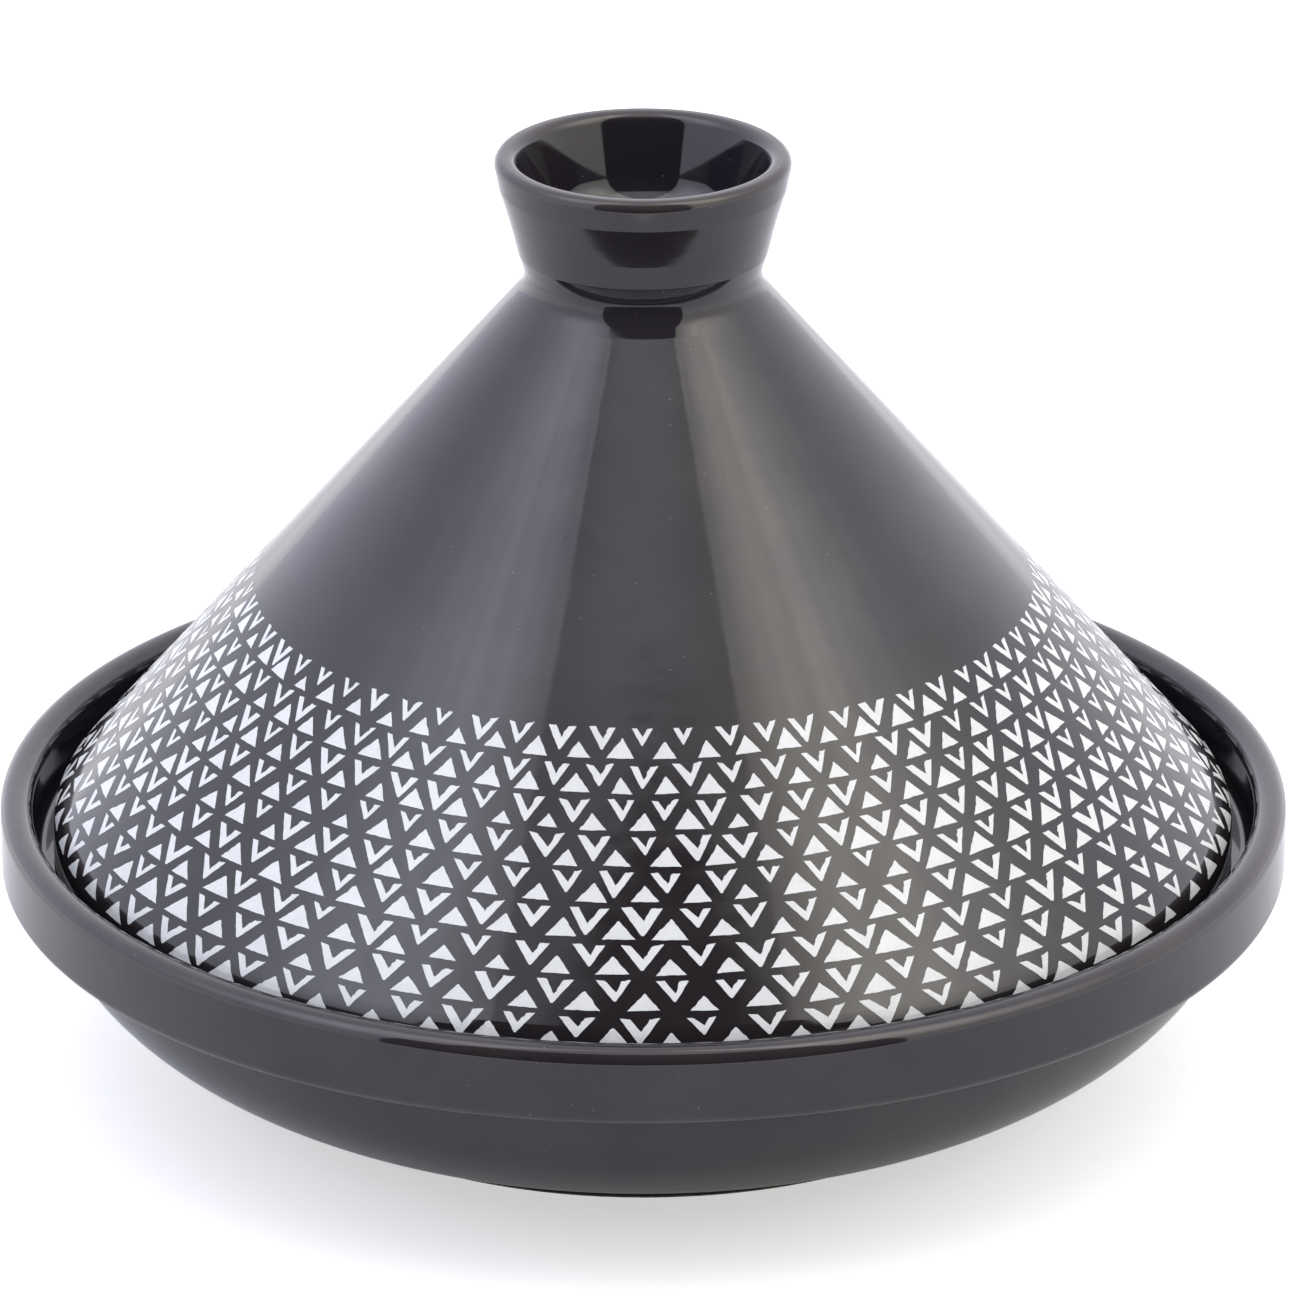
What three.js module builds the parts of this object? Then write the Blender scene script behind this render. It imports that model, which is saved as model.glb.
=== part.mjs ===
// Tagine pot: a shallow glazed stoneware dish and the conical lid that stands on a ledge inside its rim.
// Millimetres, +Z up. The origin is the centre of the foot, on the surface that the dish stands on.
// Both pieces are turned bodies, so each one is a single outline (radius, height) swept around +Z.

import * as THREE from 'three';

// Dish
const RIM_RADIUS = 139.7;
const RIM_TOP = 59.8;
const RIM_THICKNESS = 7;
const RIM_OUTER_ROUND = 3;
const RIM_INNER_ROUND = 3.6;
const BAND_BOTTOM = 43;
const BAND_EDGE_ROUND = 2;
const BOWL_RADIUS = 131.4;
const UNDERCUT_ROUND = 1.5;
const LEDGE_HEIGHT = 46;
const LEDGE_INNER_RADIUS = 118.5;
const LEDGE_ROUND = 2.5;
const FLOOR_HEIGHT = 8;
const FLOOR_RADIUS = 66;
const FOOT_RADIUS = 85;
const FOOT_HEIGHT = 2.2;
const FOOT_WIDTH = 9;
const FOOT_EDGE_ROUND = 0.9;
const FOOT_RECESS = 1.6;

// Lid
const LID_GAP = 0.3;
const SKIRT_RADIUS = 128.2;
const SKIRT_WALL = 7;
const SKIRT_EDGE_ROUND = 1.2;
const SHOULDER_ROUND = 10;
const CONE_RATE = 0.8594;
const CONE_WALL = 8.6;
const CEILING_HEIGHT = 171;
const CEILING_ROUND = 9;
const NECK_BASE_RADIUS = 24.9;
const NECK_BASE_HEIGHT = 175.8;
const NECK_ROUND = 4.5;
const NECK_FOOT_RADIUS = 25.4;
const NECK_FOOT_HEIGHT = 178.9;
const NECK_MIDDLE_RADIUS = 27.9;
const NECK_MIDDLE_HEIGHT = 188.1;
const COLLAR_RADIUS = 30.6;
const COLLAR_HEIGHT = 197.3;
const LIP_RADIUS = 31.75;
const LIP_TOP = 203.8;
const LIP_OUTER_ROUND = 1.8;
const LIP_INNER_ROUND = 2.6;
const CUP_MOUTH_RADIUS = 27;
const CUP_FLOOR_HEIGHT = 184.9;
const CUP_FLOOR_RADIUS = 21;
const CUP_ROUND = 8;

// Facets
const TURN_SEGMENTS = 64;
const ROUND_STEP = THREE.MathUtils.degToRad(30);
const BOWL_STEPS = 8;

// A corner of an outline, rounded with an arc of the given radius.
function corner(radius, height, round = 0) {
  return { point: new THREE.Vector2(radius, height), round };
}

// The points of a smooth curve, as plain corners.
function along(curve) {
  return curve.getPoints(BOWL_STEPS).map((point) => ({ point, round: 0 }));
}

// The arc that rounds one corner, tangent to the lines on both sides of it.
function roundedCorner(before, at, after, round) {
  const back = before.clone().sub(at).normalize();
  const forward = after.clone().sub(at).normalize();
  const halfAngle = Math.acos(back.dot(forward)) / 2;
  const reach = round / Math.tan(halfAngle);
  const middle = back.clone().add(forward).normalize();
  const centre = middle.multiplyScalar(round / Math.sin(halfAngle)).add(at);
  const start = back.multiplyScalar(reach).add(at).sub(centre);
  const end = forward.multiplyScalar(reach).add(at).sub(centre);
  const sweep = Math.atan2(start.cross(end), start.dot(end));
  const steps = Math.max(2, Math.round(Math.abs(sweep) / ROUND_STEP));
  const points = [];
  for (let i = 0; i <= steps; i += 1) {
    points.push(start.clone().rotateAround(new THREE.Vector2(), (sweep * i) / steps).add(centre));
  }
  return points;
}

// Turns an outline into a closed body. The outline starts and ends on the axis.
function turned(corners) {
  const points = corners.flatMap(({ point, round }, i) => {
    if (round === 0) {
      return [point];
    }
    return roundedCorner(corners[i - 1].point, point, corners[i + 1].point, round);
  });
  return new THREE.LatheGeometry(points, TURN_SEGMENTS).rotateX(Math.PI / 2);
}

// Dark charcoal glaze, glossy.
function glaze() {
  return new THREE.MeshStandardMaterial({ color: 0x3b393d, roughness: 0.16, metalness: 0 });
}

// Underside, foot ring, bowl, rim band, lip, ledge, inside of the bowl, floor.
function makeDish() {
  const rimInside = RIM_RADIUS - RIM_THICKNESS;
  const outerBowl = new THREE.CubicBezierCurve(
    new THREE.Vector2(FOOT_RADIUS + 1.6, FOOT_HEIGHT + 0.5),
    new THREE.Vector2(FOOT_RADIUS + 9.5, FOOT_HEIGHT + 4),
    new THREE.Vector2(BOWL_RADIUS - 6.4, BAND_BOTTOM - 26.8),
    new THREE.Vector2(BOWL_RADIUS - 0.2, BAND_BOTTOM - 2.5),
  );
  const innerBowl = new THREE.CubicBezierCurve(
    new THREE.Vector2(LEDGE_INNER_RADIUS - 0.3, LEDGE_HEIGHT - 4),
    new THREE.Vector2(LEDGE_INNER_RADIUS - 7, LEDGE_HEIGHT - 24),
    new THREE.Vector2(FLOOR_RADIUS + 24, FLOOR_HEIGHT),
    new THREE.Vector2(FLOOR_RADIUS, FLOOR_HEIGHT),
  );
  const outline = [
    corner(0, FOOT_RECESS),
    corner(FOOT_RADIUS - FOOT_WIDTH, FOOT_RECESS),
    corner(FOOT_RADIUS - FOOT_WIDTH, 0),
    corner(FOOT_RADIUS, 0, FOOT_EDGE_ROUND),
    corner(FOOT_RADIUS, FOOT_HEIGHT),
    ...along(outerBowl),
    corner(BOWL_RADIUS, BAND_BOTTOM, UNDERCUT_ROUND),
    corner(RIM_RADIUS, BAND_BOTTOM, BAND_EDGE_ROUND),
    corner(RIM_RADIUS, RIM_TOP, RIM_OUTER_ROUND),
    corner(rimInside, RIM_TOP, RIM_INNER_ROUND),
    corner(rimInside, LEDGE_HEIGHT, LEDGE_ROUND),
    corner(LEDGE_INNER_RADIUS, LEDGE_HEIGHT, LEDGE_ROUND),
    ...along(innerBowl),
    corner(0, FLOOR_HEIGHT),
  ];
  const dish = new THREE.Mesh(turned(outline), glaze());
  dish.name = 'dish';
  return dish;
}

// Ceiling, inside of the cone, skirt, shoulder, cone, neck, collar, lip, cup, cup floor.
function makeLid() {
  const coneRadius = (height) => NECK_BASE_RADIUS + CONE_RATE * (NECK_BASE_HEIGHT - height);
  const coneHeight = (radius) => NECK_BASE_HEIGHT - (radius - NECK_BASE_RADIUS) / CONE_RATE;
  const skirtBottom = LEDGE_HEIGHT + LID_GAP;
  const skirtInside = SKIRT_RADIUS - SKIRT_WALL;
  const outline = [
    corner(0, CEILING_HEIGHT),
    corner(coneRadius(CEILING_HEIGHT) - CONE_WALL, CEILING_HEIGHT, CEILING_ROUND),
    corner(skirtInside, coneHeight(skirtInside + CONE_WALL), SHOULDER_ROUND),
    corner(skirtInside, skirtBottom, SKIRT_EDGE_ROUND),
    corner(SKIRT_RADIUS, skirtBottom, SKIRT_EDGE_ROUND),
    corner(SKIRT_RADIUS, coneHeight(SKIRT_RADIUS), SHOULDER_ROUND),
    corner(NECK_BASE_RADIUS, NECK_BASE_HEIGHT, NECK_ROUND),
    corner(NECK_FOOT_RADIUS, NECK_FOOT_HEIGHT),
    corner(NECK_MIDDLE_RADIUS, NECK_MIDDLE_HEIGHT),
    corner(COLLAR_RADIUS, COLLAR_HEIGHT),
    corner(LIP_RADIUS, LIP_TOP, LIP_OUTER_ROUND),
    corner(CUP_MOUTH_RADIUS, LIP_TOP, LIP_INNER_ROUND),
    corner(CUP_FLOOR_RADIUS, CUP_FLOOR_HEIGHT, CUP_ROUND),
    corner(0, CUP_FLOOR_HEIGHT),
  ];
  const lid = new THREE.Mesh(turned(outline), glaze());
  lid.name = 'lid';
  return lid;
}

const tagine = new THREE.Group();
tagine.add(makeDish(), makeLid());

export default tagine;
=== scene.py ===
# Tagine pot, looks: fine glazed meshes for the dish and the lid, the printed marks on the lid,
# a pale floor, soft studio light and the camera. Metres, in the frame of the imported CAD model.
import math
import random

import bpy
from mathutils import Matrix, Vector
from mathutils.geometry import delaunay_2d_cdt


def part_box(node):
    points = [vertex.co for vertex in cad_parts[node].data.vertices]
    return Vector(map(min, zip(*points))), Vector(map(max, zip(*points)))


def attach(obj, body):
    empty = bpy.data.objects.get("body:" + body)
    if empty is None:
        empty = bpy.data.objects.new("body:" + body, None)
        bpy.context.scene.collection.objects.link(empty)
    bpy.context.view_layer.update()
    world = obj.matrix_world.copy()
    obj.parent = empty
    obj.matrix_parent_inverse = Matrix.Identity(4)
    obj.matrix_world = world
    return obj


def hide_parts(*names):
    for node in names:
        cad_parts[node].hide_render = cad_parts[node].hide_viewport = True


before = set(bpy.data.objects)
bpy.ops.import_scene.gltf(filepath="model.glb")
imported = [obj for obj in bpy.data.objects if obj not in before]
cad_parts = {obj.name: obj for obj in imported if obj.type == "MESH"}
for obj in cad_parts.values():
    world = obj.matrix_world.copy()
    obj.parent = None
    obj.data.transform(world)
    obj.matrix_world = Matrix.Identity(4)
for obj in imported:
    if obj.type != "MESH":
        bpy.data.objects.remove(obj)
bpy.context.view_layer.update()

MM = 0.001
dish_low, dish_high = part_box("dish")
lid_low, lid_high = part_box("lid")

# Dish. The rim's radius and height and the lid's height come from the frame.
RIM_RADIUS = dish_high.x
RIM_TOP = dish_high.z
RIM_THICKNESS = 7 * MM
BAND_BOTTOM = RIM_TOP - 16.8 * MM
BAND_EDGE_ROUND = 2 * MM
RIM_OUTER_ROUND = 3 * MM
RIM_INNER_ROUND = 3.6 * MM
BOWL_RADIUS = RIM_RADIUS - 8.3 * MM
UNDERCUT_ROUND = 1.5 * MM
LEDGE_HEIGHT = RIM_TOP - 13.8 * MM
LEDGE_INNER_RADIUS = 118.5 * MM
LEDGE_ROUND = 2.5 * MM
FLOOR_HEIGHT = 8 * MM
FLOOR_RADIUS = 66 * MM
FOOT_RADIUS = 85 * MM
FOOT_HEIGHT = 2.2 * MM
FOOT_WIDTH = 9 * MM
FOOT_EDGE_ROUND = 0.9 * MM
FOOT_RECESS = 1.6 * MM
FOOT_CORNER_ROUND = 0.5 * MM

# Lid
SKIRT_BOTTOM = lid_low.z
SKIRT_RADIUS = lid_high.x
SKIRT_WALL = 7 * MM
SKIRT_EDGE_ROUND = 1.2 * MM
SHOULDER_ROUND = 10 * MM
CONE_RATE = 0.8594
CONE_WALL = 8.6 * MM
CEILING_HEIGHT = 171 * MM
CEILING_ROUND = 9 * MM
LIP_TOP = lid_high.z
LIP_RADIUS = 31.75 * MM
LIP_OUTER_ROUND = 1.8 * MM
LIP_INNER_ROUND = 2.6 * MM
COLLAR_RADIUS = 30.6 * MM
COLLAR_HEIGHT = LIP_TOP - 6.5 * MM
NECK_MIDDLE_RADIUS = 27.9 * MM
NECK_MIDDLE_HEIGHT = LIP_TOP - 15.7 * MM
NECK_LOW_RADIUS = 26.6 * MM
NECK_LOW_HEIGHT = LIP_TOP - 21.1 * MM
NECK_FOOT_RADIUS = 25.4 * MM
NECK_FOOT_HEIGHT = LIP_TOP - 24.9 * MM
NECK_BASE_RADIUS = 24.9 * MM
NECK_BASE_HEIGHT = LIP_TOP - 28 * MM
NECK_ROUND = 5.7 * MM
NECK_TOE_RADIUS = 27.9 * MM
NECK_TOE_RISE = 0.3 * MM
NECK_TOE_ROUND = 6 * MM
NECK_LOW_BEND = (0.471 * MM, 1.92 * MM)
NECK_SIDE_BEND = (1.23 * MM, 4.61 * MM)
CUP_MOUTH_RADIUS = 27 * MM
CUP_FLOOR_HEIGHT = LIP_TOP - 18.9 * MM
CUP_FLOOR_RADIUS = 21 * MM
CUP_ROUND = 8 * MM

# Mesh fineness. Long stretches have a row of faces this close to each end, so that the smooth
# shading of a crease stays at the crease.
TURN_SEGMENTS = 288
ROUND_TURN = math.radians(9)
LONGEST_STEP = 3.6 * MM
CORNER_ROW = 0.25 * MM
CURVE_STEPS = 26

# The glaze is thin on convex edges and carries a painted highlight along them, fully so up to this
# rounding radius
THIN_GLAZE_HIGHLIGHT_ROUND = 2 * MM

# Out-of-true of a turned surface: depth, waves round it, share of the piece's phase, rate with height
WAVERS = (
    (0.09 * MM, 2, 1, 14),
    (0.04 * MM, 5, -2.3, 30),
    (0.006 * MM, 3, 1, -210),
)
TRUE_CENTRE = 20 * MM


# Outlines: lists of (point, rounding radius), as (radius, height)

def corner(radius, height, rounding=0.0):
    return Vector((radius, height)), rounding


def along(*controls):
    """Points of the Bezier curve with these control points, as plain corners."""
    degree = len(controls) - 1
    points = []
    for i in range(CURVE_STEPS + 1):
        t = i / CURVE_STEPS
        point = Vector((0, 0))
        for k, control in enumerate(controls):
            point += Vector(control) * (math.comb(degree, k) * t**k * (1 - t) ** (degree - k))
        points.append((point, 0.0))
    return points


def rounded_corner(before, at, after, radius):
    """The arc that rounds one corner, with how much thin glaze and painted highlight each point gets: 0 at
    its ends, most in the middle.
    """
    back = (before - at).normalized()
    forward = (after - at).normalized()
    half_angle = back.angle(forward) / 2
    reach = radius / math.tan(half_angle)
    centre = at + (back + forward).normalized() * (radius / math.sin(half_angle))
    start = at + back * reach - centre
    end = at + forward * reach - centre
    sweep = math.atan2(start.x * end.y - start.y * end.x, start.dot(end))
    steps = max(3, round(abs(sweep) / ROUND_TURN))
    sharpness = min(1, (THIN_GLAZE_HIGHLIGHT_ROUND / radius) ** 2)
    points = []
    for i in range(steps + 1):
        a = sweep * i / steps
        turned = Vector((start.x * math.cos(a) - start.y * math.sin(a),
                         start.x * math.sin(a) + start.y * math.cos(a)))
        thin_glaze_highlight = math.sin(math.pi * i / steps) * sharpness if sweep > 0 else 0.0
        points.append((centre + turned, thin_glaze_highlight))
    return points


def fine_outline(corners):
    """The outline with rounded corners and its long stretches divided, as (point, share of thin glaze and
    painted highlight) pairs.
    """
    rough = []
    for i, (point, radius) in enumerate(corners):
        if radius > 0:
            rough += rounded_corner(corners[i - 1][0], point, corners[i + 1][0], radius)
        else:
            rough.append((point, 0.0))
    fine = [rough[0]]
    for (a, _), (b, edge) in zip(rough, rough[1:]):
        length = (b - a).length
        if length < 1e-7:
            continue
        steps = math.ceil(length / LONGEST_STEP)
        places = [i / steps for i in range(1, steps)]
        if steps > 1:
            places = [CORNER_ROW / length, *places, 1 - CORNER_ROW / length]
        fine += [(a.lerp(b, t), 0.0) for t in places]
        fine.append((b, edge))
    return fine


def dish_outline():
    inside = RIM_RADIUS - RIM_THICKNESS
    return [
        corner(0, FOOT_RECESS),
        corner(FOOT_RADIUS - FOOT_WIDTH, FOOT_RECESS, FOOT_CORNER_ROUND),
        corner(FOOT_RADIUS - FOOT_WIDTH, 0, FOOT_CORNER_ROUND),
        corner(FOOT_RADIUS, 0, FOOT_EDGE_ROUND),
        corner(FOOT_RADIUS, FOOT_HEIGHT, FOOT_CORNER_ROUND),
        *along((FOOT_RADIUS + 1.6 * MM, FOOT_HEIGHT + 0.5 * MM),
               (FOOT_RADIUS + 9.5 * MM, FOOT_HEIGHT + 4 * MM),
               (BOWL_RADIUS - 6.4 * MM, BAND_BOTTOM - 26.8 * MM),
               (BOWL_RADIUS - 0.2 * MM, BAND_BOTTOM - 2.5 * MM)),
        corner(BOWL_RADIUS, BAND_BOTTOM, UNDERCUT_ROUND),
        corner(RIM_RADIUS, BAND_BOTTOM, BAND_EDGE_ROUND),
        corner(RIM_RADIUS, RIM_TOP, RIM_OUTER_ROUND),
        corner(inside, RIM_TOP, RIM_INNER_ROUND),
        corner(inside, LEDGE_HEIGHT, LEDGE_ROUND),
        corner(LEDGE_INNER_RADIUS, LEDGE_HEIGHT, LEDGE_ROUND),
        *along((LEDGE_INNER_RADIUS - 0.3 * MM, LEDGE_HEIGHT - 4 * MM),
               (LEDGE_INNER_RADIUS - 7 * MM, LEDGE_HEIGHT - 24 * MM),
               (FLOOR_RADIUS + 24 * MM, FLOOR_HEIGHT),
               (FLOOR_RADIUS, FLOOR_HEIGHT)),
        corner(0, FLOOR_HEIGHT),
    ]


def cone_radius(height):
    return NECK_BASE_RADIUS + CONE_RATE * (NECK_BASE_HEIGHT - height)


def cone_height(radius):
    return NECK_BASE_HEIGHT - (radius - NECK_BASE_RADIUS) / CONE_RATE


def lid_outline():
    inside = SKIRT_RADIUS - SKIRT_WALL
    return [
        corner(0, CEILING_HEIGHT),
        corner(cone_radius(CEILING_HEIGHT) - CONE_WALL, CEILING_HEIGHT, CEILING_ROUND),
        corner(inside, cone_height(inside + CONE_WALL), SHOULDER_ROUND),
        corner(inside, SKIRT_BOTTOM, SKIRT_EDGE_ROUND),
        corner(SKIRT_RADIUS, SKIRT_BOTTOM, SKIRT_EDGE_ROUND),
        corner(SKIRT_RADIUS, cone_height(SKIRT_RADIUS), SHOULDER_ROUND),
        corner(NECK_TOE_RADIUS, cone_height(NECK_TOE_RADIUS), NECK_TOE_ROUND),
        corner(NECK_BASE_RADIUS, NECK_BASE_HEIGHT + NECK_TOE_RISE, NECK_ROUND),
        *along((NECK_FOOT_RADIUS, NECK_FOOT_HEIGHT),
               (NECK_FOOT_RADIUS + NECK_LOW_BEND[0], NECK_FOOT_HEIGHT + NECK_LOW_BEND[1]),
               (NECK_LOW_RADIUS, NECK_LOW_HEIGHT)),
        *along((NECK_MIDDLE_RADIUS, NECK_MIDDLE_HEIGHT),
               (NECK_MIDDLE_RADIUS + NECK_SIDE_BEND[0], NECK_MIDDLE_HEIGHT + NECK_SIDE_BEND[1]),
               (COLLAR_RADIUS, COLLAR_HEIGHT)),
        corner(LIP_RADIUS, LIP_TOP, LIP_OUTER_ROUND),
        corner(CUP_MOUTH_RADIUS, LIP_TOP, LIP_INNER_ROUND),
        corner(CUP_FLOOR_RADIUS, CUP_FLOOR_HEIGHT, CUP_ROUND),
        corner(0, CUP_FLOOR_HEIGHT),
    ]


# Turned meshes

def waver(angle, height, phase):
    """How far the surface stands out of true, as thrown and fired clay does."""
    return sum(depth * math.sin(waves * angle + share * phase + rate * height)
               for depth, waves, share, rate in WAVERS)


def turned_point(radius, height, angle, phase):
    """A point of a turned surface. Angle 0 is on -Y, the front."""
    r = radius + waver(angle, height, phase) * min(1, radius / TRUE_CENTRE)
    return r * math.sin(angle), -r * math.cos(angle), height


def turned_mesh(name, corners, phase):
    """A closed body turned from the outline, with the attribute "edge" on its convex edges: thin glaze
    there, and a painted highlight.
    """
    outline = fine_outline(corners)
    rings = outline[1:-1]
    vertices = [(0, 0, outline[0][0].y)]
    edge = [0.0]
    for point, thin_glaze_highlight in rings:
        for k in range(TURN_SEGMENTS):
            vertices.append(turned_point(point.x, point.y, 2 * math.pi * k / TURN_SEGMENTS, phase))
        edge += [thin_glaze_highlight] * TURN_SEGMENTS
    vertices.append((0, 0, outline[-1][0].y))
    edge.append(0.0)
    faces = []
    last = len(vertices) - 1
    top = 1 + (len(rings) - 1) * TURN_SEGMENTS
    for k in range(TURN_SEGMENTS):
        n = (k + 1) % TURN_SEGMENTS
        faces.append((0, 1 + n, 1 + k))
        for row in range(len(rings) - 1):
            a = 1 + row * TURN_SEGMENTS
            b = a + TURN_SEGMENTS
            faces.append((a + k, a + n, b + n, b + k))
        faces.append((last, top + k, top + n))
    mesh = bpy.data.meshes.new(name)
    mesh.from_pydata(vertices, [], faces)
    mesh.attributes.new("edge", "FLOAT", "POINT").data.foreach_set("value", edge)
    mesh.polygons.foreach_set("use_smooth", [True] * len(mesh.polygons))
    piece = bpy.data.objects.new(name, mesh)
    bpy.context.scene.collection.objects.link(piece)
    weighted = piece.modifiers.new("weighted_normal", "WEIGHTED_NORMAL")
    weighted.mode = "FACE_AREA"
    weighted.keep_sharp = False
    return piece


# Printed marks, in rows down the cone: a row of Vs, then a row of triangles. Widths are shares of
# the room each mark has round the cone.

PRINT_SEED = 28
MARKS_ROUND = 62
MARK_ROWS = 9
ROW_STEP = 7.76 * MM
CHEVRON_TOP = 0.45 * MM
CHEVRON_WIDTH = 0.63
CHEVRON_HEIGHT = 4.7 * MM
TRIANGLE_BASE = 6.9 * MM
TRIANGLE_WIDTH = 0.56
TRIANGLE_HEIGHT = 3.7 * MM
ROW_SCATTER = 0.13 * MM
CUT_SCATTER = 0.10 * MM
PRINT_TOP_RADIUS = 83.5 * MM
HALF_PITCH_CHEVRONS = (0, 0, 1, 0, 1)
HALF_PITCH_TRIANGLES = (1, 1, 0, 1, 0)
PRINT_PROUD = 0.05 * MM
PRINT_SUNK = 0.12 * MM
OUTLINE_STEP = 0.65 * MM
FILL_STEP = 1.5 * MM
FILL_CLEAR = 0.45 * MM
SLANT = math.hypot(1, CONE_RATE)
CONE_TILT = math.atan(CONE_RATE)
TO_SHOULDER = ((SKIRT_RADIUS - PRINT_TOP_RADIUS) * SLANT / CONE_RATE
               - SHOULDER_ROUND * math.tan(CONE_TILT / 2))


def print_profile(v, lift):
    """Radius and height of a place v metres down the lid's outer face and lift metres off it."""
    radius = PRINT_TOP_RADIUS + min(v, TO_SHOULDER) * CONE_RATE / SLANT
    height = cone_height(radius)
    tilt = CONE_TILT
    if v > TO_SHOULDER:
        tilt = max(0, CONE_TILT - (v - TO_SHOULDER) / SHOULDER_ROUND)
        radius += SHOULDER_ROUND * (math.cos(tilt) - math.cos(CONE_TILT))
        height -= SHOULDER_ROUND * (math.sin(CONE_TILT) - math.sin(tilt))
        height -= max(0, v - TO_SHOULDER - SHOULDER_ROUND * CONE_TILT)
    return radius + lift * math.cos(tilt), height + lift * math.sin(tilt)


def print_point(u, v, lift):
    radius, height = print_profile(v, lift)
    return turned_point(radius, height, u, LID_PHASE)


def chevron(rng, w, h):
    """A hand-cut V about its centre, y up: corners, and how rough the side after each one is."""
    stroke = w * rng.uniform(0.22, 0.28)
    lean = w * rng.uniform(-0.07, 0.07)
    notch = h * rng.uniform(0.46, 0.62)
    skew = h * rng.uniform(-0.04, 0.06)
    return [
        ((-w / 2, h / 2), 0.3),
        ((-w / 2 + stroke, h / 2 - skew), 0.3),
        ((lean + w * 0.03, h / 2 - notch), 1.0),
        ((w / 2 - stroke * 1.05, h / 2 - h * 0.03), 0.8),
        ((w / 2, h / 2 + skew), 0.3),
        ((lean + w * 0.03, -h / 2), 0.5),
        ((lean - w * 0.03, -h / 2), 0.3),
    ]


def triangle(rng, w, h):
    """A hand-cut triangle about its centre, y up: corners, and how rough the side after each is."""
    lean = w * rng.uniform(-0.09, 0.09)
    tilt = h * rng.uniform(-0.05, 0.05)
    return [
        ((-w / 2, -h / 2), 0.7),
        ((lean - w * 0.02, h / 2), 0.3),
        ((lean + w * 0.02, h / 2), 0.5),
        ((w / 2, -h / 2 + tilt), 0.35),
    ]


def cut_outline(rng, shape):
    """The shape's outline in short steps pushed a little off it, by the roughness of each side."""
    points = []
    for (a, rough), (b, _) in zip(shape, shape[1:] + shape[:1]):
        a = Vector(a)
        b = Vector(b)
        steps = max(1, round((b - a).length / OUTLINE_STEP))
        across = Vector((-(b - a).y, (b - a).x)).normalized()
        points.append(a)
        push = 0.0
        for i in range(1, steps):
            push = 0.35 * push + rng.gauss(0, CUT_SCATTER) * rough
            points.append(a.lerp(b, i / steps) + across * push)
    return points


def inside_outline(point, outline):
    crossings = 0
    for a, b in zip(outline, outline[1:] + outline[:1]):
        if (a.y > point.y) != (b.y > point.y):
            crossings += point.x < a.x + (point.y - a.y) * (b.x - a.x) / (b.y - a.y)
    return crossings % 2 == 1


def fill_points(outline):
    """Inner points of a mark, so that its face follows the round cone."""
    low_x = min(p.x for p in outline)
    low_y = min(p.y for p in outline)
    high_x = max(p.x for p in outline)
    high_y = max(p.y for p in outline)
    points = []
    for i in range(1, int((high_x - low_x) / FILL_STEP) + 1):
        for j in range(1, int((high_y - low_y) / FILL_STEP) + 1):
            p = Vector((low_x + i * FILL_STEP, low_y + j * FILL_STEP))
            clear = min((p - q).length for q in outline) > FILL_CLEAR
            if clear and inside_outline(p, outline):
                points.append(p)
    return points


def add_mark(vertices, faces, outline, u, v):
    """One closed mark, with its face proud of the glaze and its back sunk in it."""
    radius, _ = print_profile(v, 0)
    flat = outline + fill_points(outline)
    count = len(outline)
    rim = [(i, (i + 1) % count) for i in range(count)]
    points, _, triangles, _, _, _ = delaunay_2d_cdt(flat, rim, [list(range(count))], 1, 1e-7)
    start = len(vertices)
    for lift in (PRINT_PROUD, -PRINT_SUNK):
        for p in points:
            vertices.append(print_point(u + p.x / radius, v - p.y, lift))
    size = len(points)
    edges = set()
    for t in triangles:
        faces.append([start + i for i in t])
        faces.append([start + size + i for i in reversed(t)])
        edges.update((t[i], t[(i + 1) % 3]) for i in range(3))
    for a, b in sorted(edges):
        if (b, a) not in edges:
            faces.append([start + b, start + a, start + size + a, start + size + b])


def print_mesh(name):
    rng = random.Random(PRINT_SEED)
    vertices = []
    faces = []
    pitch = 2 * math.pi / MARKS_ROUND
    kinds = (
        (chevron, CHEVRON_TOP, 0.5, HALF_PITCH_CHEVRONS, CHEVRON_WIDTH, CHEVRON_HEIGHT),
        (triangle, TRIANGLE_BASE, -0.5, HALF_PITCH_TRIANGLES, TRIANGLE_WIDTH, TRIANGLE_HEIGHT),
    )
    for row in range(MARK_ROWS):
        for shape, line, side, shifts, width, height in kinds:
            for k in range(MARKS_ROUND):
                size = rng.triangular(0.7, 1.3, 1.0)
                h = height * size * rng.uniform(0.93, 1.07)
                v = row * ROW_STEP + line + side * h + rng.gauss(0, ROW_SCATTER)
                w = width * pitch * print_profile(v, 0)[0] * size * rng.uniform(0.95, 1.05)
                angle = pitch * (k + shifts[row % len(shifts)] / 2 + rng.gauss(0, 0.03))
                add_mark(vertices, faces, cut_outline(rng, shape(rng, w, h)), angle, v)
    mesh = bpy.data.meshes.new(name)
    mesh.from_pydata(vertices, [], faces)
    piece = bpy.data.objects.new(name, mesh)
    bpy.context.scene.collection.objects.link(piece)
    return piece


# Materials

def new_material(name):
    material = bpy.data.materials.new(name)
    material.use_nodes = True
    nodes = material.node_tree.nodes
    return material, nodes, material.node_tree.links, nodes["Principled BSDF"]


def noise(nodes, links, source, scale, detail=2.0, roughness=0.5):
    node = nodes.new("ShaderNodeTexNoise")
    node.inputs["Scale"].default_value = scale
    node.inputs["Detail"].default_value = detail
    node.inputs["Roughness"].default_value = roughness
    links.new(source, node.inputs["Vector"])
    return node.outputs["Fac"]


def spread(nodes, links, value, low, high, to_low=0.0, to_high=1.0):
    node = nodes.new("ShaderNodeMapRange")
    node.interpolation_type = "SMOOTHSTEP"
    node.inputs["From Min"].default_value = low
    node.inputs["From Max"].default_value = high
    node.inputs["To Min"].default_value = to_low
    node.inputs["To Max"].default_value = to_high
    links.new(value, node.inputs["Value"])
    return node.outputs["Result"]


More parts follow.
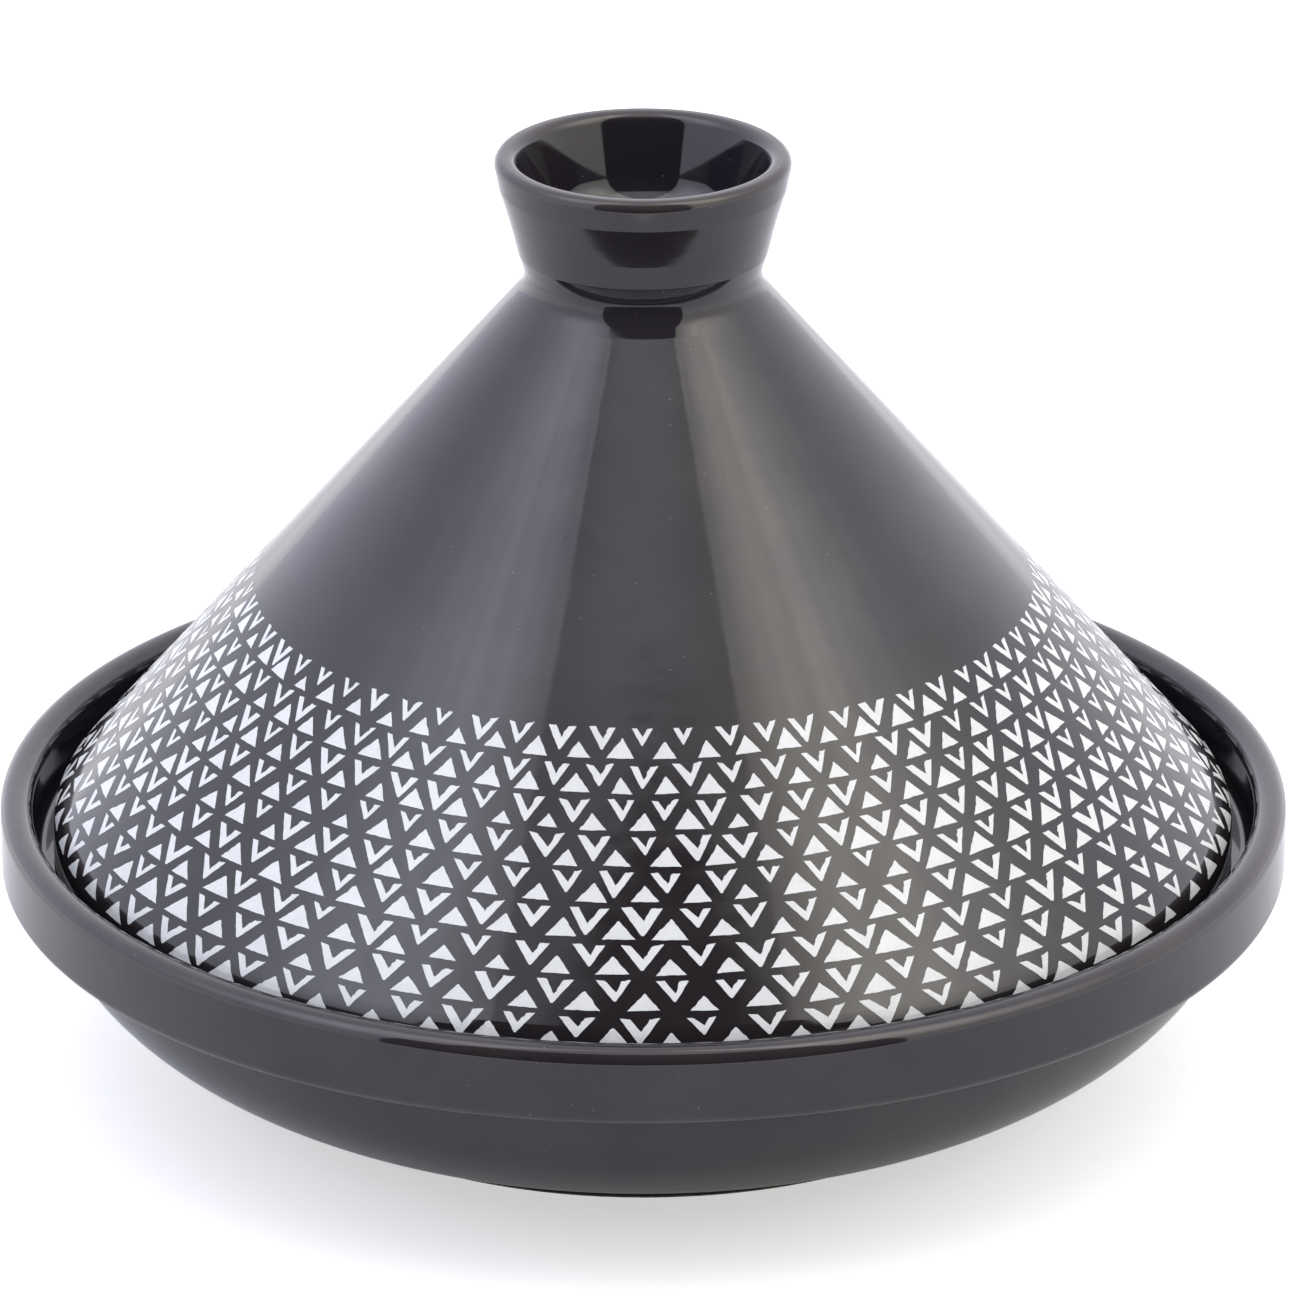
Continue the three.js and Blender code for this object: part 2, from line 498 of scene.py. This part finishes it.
def maths(nodes, links, operation, first, second):
    node = nodes.new("ShaderNodeMath")
    node.operation = operation
    for socket, value in zip(node.inputs, (first, second)):
        if isinstance(value, (int, float)):
            socket.default_value = value
        else:
            links.new(value, socket)
    return node.outputs["Value"]


def mix_colour(nodes, links, factor, first, second):
    node = nodes.new("ShaderNodeMix")
    node.data_type = "RGBA"
    links.new(factor, node.inputs[0])
    for socket, value in ((node.inputs[6], first), (node.inputs[7], second)):
        if isinstance(value, tuple):
            socket.default_value = (*value, 1)
        else:
            links.new(value, socket)
    return node.outputs[2]


def specks(nodes, links, place):
    """Sparse round specks: 1 inside one, 0 elsewhere."""
    cells = nodes.new("ShaderNodeTexVoronoi")
    cells.inputs["Scale"].default_value = SPECK_SCALE
    links.new(place, cells.inputs["Vector"])
    pick = nodes.new("ShaderNodeSeparateColor")
    links.new(cells.outputs["Color"], pick.inputs[0])
    chosen = spread(nodes, links, pick.outputs["Red"], 0.94, 0.95)
    spot = spread(nodes, links, cells.outputs["Distance"], 0.12, 0.06)
    return maths(nodes, links, "MULTIPLY", chosen, spot)


def bump(nodes, links, height, distance, normal=None):
    node = nodes.new("ShaderNodeBump")
    node.inputs["Strength"].default_value = 1.0
    node.inputs["Distance"].default_value = distance
    links.new(height, node.inputs["Height"])
    if normal is not None:
        links.new(normal, node.inputs["Normal"])
    return node.outputs["Normal"]


GLAZE = (0.0155, 0.0136, 0.0186)
GLAZE_WARM = (0.0180, 0.0152, 0.0176)
GLAZE_FILM = (0.0150, 0.0125, 0.0140)
# Lighter colour on convex edges: thin glaze, and a painted highlight along them
GLAZE_THIN_AND_HIGHLIGHT = (0.040, 0.032, 0.029)
DUST = (0.17, 0.16, 0.16)
CLAY = (0.36, 0.27, 0.20)
CLAY_DARK = (0.24, 0.17, 0.12)
PRINT_WHITE = (0.59, 0.605, 0.60)
PRINT_WORN = (0.54, 0.555, 0.55)
GLAZE_IOR = 1.5
GLAZE_ROUGH = (0.035, 0.075)
GLAZE_SPECULAR = (0.47, 0.54)
PRINT_ROUGH = (0.22, 0.34)
CLAY_ROUGH = 0.75
FILM_ROUGH = 0.012
FILM_FADE = 0.4 * MM
CLOUD_SCALE = 34
GRAIN_SCALE = 420
SHEEN_SCALE = 90
SPECK_SCALE = 700
POOL_SCALE = 75
POOL_DEPTH = 0.035 * MM
RIPPLE_SCALE = 900
RIPPLE_DEPTH = 0.0016 * MM
WEAR_SCALE = 260
ENAMEL_SCALE = 1400
ENAMEL_DEPTH = 0.004 * MM


def glaze_material(name, bare_below, film_below=None):
    """Charcoal glaze: bare clay below bare_below, and the print's clear film below film_below."""
    material, nodes, links, shader = new_material(name)
    place = nodes.new("ShaderNodeTexCoord").outputs["Object"]
    split = nodes.new("ShaderNodeSeparateXYZ")
    links.new(place, split.inputs[0])
    height = split.outputs["Z"]
    edge = nodes.new("ShaderNodeAttribute")
    edge.attribute_name = "edge"

    cloud = noise(nodes, links, place, CLOUD_SCALE, 4, 0.6)
    grain = noise(nodes, links, place, GRAIN_SCALE, 3)
    colour = mix_colour(nodes, links, spread(nodes, links, cloud, 0.35, 0.68), GLAZE, GLAZE_WARM)
    patchy = spread(nodes, links, cloud, 0.3, 0.6, 0.25, 0.8)
    # Convex edges lighter: thin glaze, and a painted highlight along them
    thin_glaze_and_highlight = maths(nodes, links, "MULTIPLY", edge.outputs["Fac"], patchy)
    colour = mix_colour(nodes, links, thin_glaze_and_highlight, colour, GLAZE_THIN_AND_HIGHLIGHT)
    sheen = noise(nodes, links, place, SHEEN_SCALE, 3)
    rough = spread(nodes, links, sheen, 0.3, 0.7, *GLAZE_ROUGH)
    colour = mix_colour(nodes, links, specks(nodes, links, place), colour, DUST)

    if film_below is not None:
        film = spread(nodes, links, height, film_below, film_below - FILM_FADE)
        colour = mix_colour(nodes, links, film, colour, GLAZE_FILM)
        rough = maths(nodes, links, "ADD", rough, maths(nodes, links, "MULTIPLY", film, FILM_ROUGH))

    ragged = maths(nodes, links, "ADD", height, maths(nodes, links, "MULTIPLY", grain, 0.5 * MM))
    bare = spread(nodes, links, ragged, bare_below + 0.35 * MM, bare_below + 0.1 * MM)
    clay = mix_colour(nodes, links, spread(nodes, links, grain, 0.4, 0.65), CLAY, CLAY_DARK)
    colour = mix_colour(nodes, links, bare, colour, clay)
    rough = maths(nodes, links, "ADD", rough, maths(nodes, links, "MULTIPLY", bare, CLAY_ROUGH))

    links.new(colour, shader.inputs["Base Color"])
    links.new(rough, shader.inputs["Roughness"])
    shader.inputs["IOR"].default_value = GLAZE_IOR
    specular = spread(nodes, links, cloud, 0.3, 0.7, *GLAZE_SPECULAR)
    links.new(specular, shader.inputs["Specular IOR Level"])
    pools = noise(nodes, links, place, POOL_SCALE, 2)
    ripples = noise(nodes, links, place, RIPPLE_SCALE, 2)
    normal = bump(nodes, links, pools, POOL_DEPTH)
    normal = bump(nodes, links, ripples, RIPPLE_DEPTH, normal)
    links.new(normal, shader.inputs["Normal"])
    return material


def print_material(name):
    """White enamel print, a little uneven, fired onto the glaze."""
    material, nodes, links, shader = new_material(name)
    place = nodes.new("ShaderNodeTexCoord").outputs["Object"]
    worn = noise(nodes, links, place, WEAR_SCALE, 4, 0.6)
    colour = mix_colour(nodes, links, spread(nodes, links, worn, 0.35, 0.75),
                        PRINT_WHITE, PRINT_WORN)
    links.new(colour, shader.inputs["Base Color"])
    links.new(spread(nodes, links, worn, 0.3, 0.7, *PRINT_ROUGH), shader.inputs["Roughness"])
    shader.inputs["IOR"].default_value = GLAZE_IOR
    fine = noise(nodes, links, place, ENAMEL_SCALE, 2)
    links.new(bump(nodes, links, fine, ENAMEL_DEPTH), shader.inputs["Normal"])
    return material


FLOOR_PALE = ((0.66, 0.66, 0.665), (0.68, 0.68, 0.685))
FLOOR_GLOW = 0.45
SIDE_GLOW = (0.1, 0.55)
SIDE_GLOW_FROM = 0.22
SIDE_GLOW_TO = 0.6
FLOOR_REACH = 12.0
FLOOR_DROP = 0.1 * MM


def floor_material():
    """Pale sheet with a glow of its own, stronger to the left and right of the pot.

    Rays from the camera see FLOOR_GLOW more, so that the shadow looks faint in the picture.
    Reflections in the pot see the sheet without it.
    """
    material, nodes, links, shader = new_material("floor_paper")
    place = nodes.new("ShaderNodeTexCoord").outputs["Object"]
    tone = noise(nodes, links, place, 1.5, 2)
    links.new(mix_colour(nodes, links, tone, *FLOOR_PALE),
              shader.inputs["Base Color"])
    seen = nodes.new("ShaderNodeLightPath").outputs["Is Camera Ray"]
    split = nodes.new("ShaderNodeSeparateXYZ")
    links.new(place, split.inputs[0])
    sideways = maths(nodes, links, "ABSOLUTE", split.outputs["X"], 0.0)
    lit = spread(nodes, links, sideways, SIDE_GLOW_FROM, SIDE_GLOW_TO, *SIDE_GLOW)
    glow = maths(nodes, links, "ADD", lit, maths(nodes, links, "MULTIPLY", seen, FLOOR_GLOW))
    links.new(glow, shader.inputs["Emission Strength"])
    shader.inputs["Emission Color"].default_value = (1, 1, 1, 1)
    shader.inputs["Roughness"].default_value = 0.7
    shader.inputs["Specular IOR Level"].default_value = 0.2
    return material


# The pieces

DISH_PHASE = 0.7
LID_PHASE = 2.1
BARE_RISE = 0.5 * MM
FILM_TOP = cone_height(PRINT_TOP_RADIUS) + 7.6 * MM

dish = turned_mesh("dish_glazed", dish_outline(), DISH_PHASE)
dish.data.materials.append(glaze_material("dish_glaze", bare_below=BARE_RISE))
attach(dish, "dish")
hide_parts("dish")

lid = turned_mesh("lid_glazed", lid_outline(), LID_PHASE)
lid.data.materials.append(glaze_material("lid_glaze", bare_below=SKIRT_BOTTOM + BARE_RISE,
                                         film_below=FILM_TOP))
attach(lid, "lid")
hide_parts("lid")

marks = print_mesh("printed_marks")
marks.data.materials.append(print_material("white_enamel"))
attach(marks, "lid")


# Floor, light and camera

def make_floor():
    far = FLOOR_REACH
    mesh = bpy.data.meshes.new("floor")
    mesh.from_pydata([(-far, -far, 0), (far, -far, 0), (far, far, 0), (-far, far, 0)],
                     [], [(0, 1, 2, 3)])
    floor = bpy.data.objects.new("floor", mesh)
    floor.location.z = -FLOOR_DROP
    mesh.materials.append(floor_material())
    bpy.context.scene.collection.objects.link(floor)


ROOM_LIGHT = 1.55
OVERHEAD_LIGHT = 1.45
DARK_ROOM = 0.03
WINDOW_HALF = math.radians(38)
OVERHEAD_SLOPE = 1.607
LEFT_PEAK = 1.8
RIGHT_PEAK = 2.5
SOFTBOX_FADE = math.radians(52)
COOL_LIGHT = (0.91, 0.94, 1.10)
ROOM_TINT = (0.995, 0.97, 1.045)
WARM_LIGHT = (1.03, 1.0, 0.93)
WINDOW_BLUR = 0.012
SOFTBOX_EDGE = 0.45
PANEL_SKEW = 0.08


def make_world():
    """Studio surroundings, by direction: pale walls, a dark doorway in front with a softbox on each
    side of it, and an overhead panel. The camera sees plain white instead.
    """
    world = bpy.data.worlds.new("studio")
    bpy.context.scene.world = world
    world.use_nodes = True
    nodes = world.node_tree.nodes
    links = world.node_tree.links
    way = nodes.new("ShaderNodeTexCoord").outputs["Generated"]
    split = nodes.new("ShaderNodeSeparateXYZ")
    links.new(way, split.inputs[0])
    x, y, z = split.outputs
    front = maths(nodes, links, "MULTIPLY", y, -1.0)
    azimuth = maths(nodes, links, "ARCTAN2", x, front)
    sideways = maths(nodes, links, "ABSOLUTE", azimuth, 0.0)
    window = spread(nodes, links, sideways, WINDOW_HALF + WINDOW_BLUR, WINDOW_HALF - WINDOW_BLUR)

    # Softboxes: brightest beside the doorway and high up, fading outwards and down
    fade = spread(nodes, links, sideways, WINDOW_HALF + SOFTBOX_EDGE,
                  WINDOW_HALF + SOFTBOX_EDGE + SOFTBOX_FADE, 1.0, 0.0)
    high = spread(nodes, links, z, 0.25, 0.75)
    side = spread(nodes, links, x, -0.05, 0.05, LEFT_PEAK, RIGHT_PEAK)
    boxes = maths(nodes, links, "MULTIPLY", maths(nodes, links, "MULTIPLY", fade, high), side)
    folds = spread(nodes, links, noise(nodes, links, way, 9, 3, 0.6), 0.3, 0.7, 0.84, 1.16)
    boxes = maths(nodes, links, "MULTIPLY", boxes, folds)
    inner = spread(nodes, links, sideways, WINDOW_HALF, WINDOW_HALF + 0.4, 0.7, 0.0)
    inner = maths(nodes, links, "MULTIPLY", inner, spread(nodes, links, z, 0.868, 0.835))
    boxes = maths(nodes, links, "MULTIPLY", boxes, maths(nodes, links, "SUBTRACT", 1.0, inner))
    walls = maths(nodes, links, "ADD", boxes, ROOM_LIGHT)

    # Doorway: dark up to the straight front edge of the overhead panel
    edge = maths(nodes, links, "MULTIPLY", front, OVERHEAD_SLOPE)
    edge = maths(nodes, links, "ADD", edge, maths(nodes, links, "MULTIPLY", x, PANEL_SKEW))
    above = maths(nodes, links, "SUBTRACT", z, edge)
    overhead = spread(nodes, links, above, -WINDOW_BLUR, WINDOW_BLUR)
    brighter = spread(nodes, links, z, 0.83, 0.875, 0.8, 1.15)
    panel = maths(nodes, links, "MULTIPLY", brighter, OVERHEAD_LIGHT)
    doorway = nodes.new("ShaderNodeMix")
    links.new(overhead, doorway.inputs[0])
    doorway.inputs[2].default_value = DARK_ROOM
    links.new(panel, doorway.inputs[3])
    light = nodes.new("ShaderNodeMix")
    links.new(window, light.inputs[0])
    links.new(walls, light.inputs[2])
    links.new(doorway.outputs[0], light.inputs[3])

    # Cool light from the left, and a warmer softbox on the right
    tint = mix_colour(nodes, links, spread(nodes, links, x, -0.75, 0.1), COOL_LIGHT, ROOM_TINT)
    warm = maths(nodes, links, "MULTIPLY", fade, spread(nodes, links, x, 0.1, 0.4))
    tint = mix_colour(nodes, links, warm, tint, WARM_LIGHT)

    # The backdrop is plain white
    seen = nodes.new("ShaderNodeLightPath").outputs["Is Camera Ray"]
    strength = nodes.new("ShaderNodeMix")
    links.new(seen, strength.inputs[0])
    links.new(light.outputs[0], strength.inputs[2])
    strength.inputs[3].default_value = 1.0
    background = nodes["Background"]
    links.new(mix_colour(nodes, links, seen, tint, (1, 1, 1)), background.inputs["Color"])
    links.new(strength.outputs[0], background.inputs["Strength"])


FLAG_AWAY = 0.29
FLAG_HALF = 0.215
FLAG_TOP = 0.22
STRIP_DEPTH = 0.022
STRIP_LIGHT = 1.9
STRIP_RISE = 1 * MM
CARD_BLACK = (0.004, 0.004, 0.005, 1)
CARD_LIGHT = (1, 0.99, 0.97, 1)


def only_reflected(piece):
    """Hides a studio piece from everything except glossy reflections."""
    piece.visible_camera = False
    piece.visible_diffuse = False
    piece.visible_shadow = False
    piece.visible_transmission = False
    piece.visible_volume_scatter = False


def make_card(name, corners, light):
    """A flat studio card, black or lit, that only shows in the glaze."""
    mesh = bpy.data.meshes.new(name)
    mesh.from_pydata(corners, [], [(0, 1, 2, 3)])
    material, nodes, links, shader = new_material(name)
    shader.inputs["Base Color"].default_value = CARD_BLACK
    shader.inputs["Roughness"].default_value = 1.0
    shader.inputs["Specular IOR Level"].default_value = 0.0
    shader.inputs["Emission Color"].default_value = CARD_LIGHT
    shader.inputs["Emission Strength"].default_value = light
    mesh.materials.append(material)
    card = bpy.data.objects.new(name, mesh)
    bpy.context.scene.collection.objects.link(card)
    only_reflected(card)


def make_table_edge():
    """The table ends in front of the pot: the room beyond is dark, and the edge itself is bright."""
    make_card("black_flag", [(-FLAG_HALF, -FLAG_AWAY, 0), (FLAG_HALF, -FLAG_AWAY, 0),
                             (FLAG_HALF, -FLAG_AWAY, FLAG_TOP), (-FLAG_HALF, -FLAG_AWAY, FLAG_TOP)], 0.0)
    inner = -FLAG_AWAY + STRIP_DEPTH
    make_card("table_edge", [(-FLAG_HALF, -FLAG_AWAY, STRIP_RISE), (FLAG_HALF, -FLAG_AWAY, STRIP_RISE),
                             (FLAG_HALF, inner, STRIP_RISE), (-FLAG_HALF, inner, STRIP_RISE)], STRIP_LIGHT)


CAMERA_AWAY = 1.7774
CAMERA_HEIGHT = 0.8237
CAMERA_PITCH = math.radians(22.42)
CAMERA_ASIDE = 1.5 * MM
CAMERA_LENS = 246.3
SENSOR_WIDTH = 36
SIGHT = 60


def make_camera():
    data = bpy.data.cameras.new("camera")
    data.lens = CAMERA_LENS
    data.sensor_width = SENSOR_WIDTH
    data.clip_end = SIGHT
    camera = bpy.data.objects.new("camera", data)
    camera.location = (CAMERA_ASIDE, -CAMERA_AWAY, CAMERA_HEIGHT)
    camera.rotation_euler = (math.pi / 2 - CAMERA_PITCH, 0, 0)
    bpy.context.scene.collection.objects.link(camera)
    bpy.context.scene.camera = camera


make_floor()
make_table_edge()
make_world()
make_camera()
bpy.context.scene.view_settings.view_transform = "Standard"
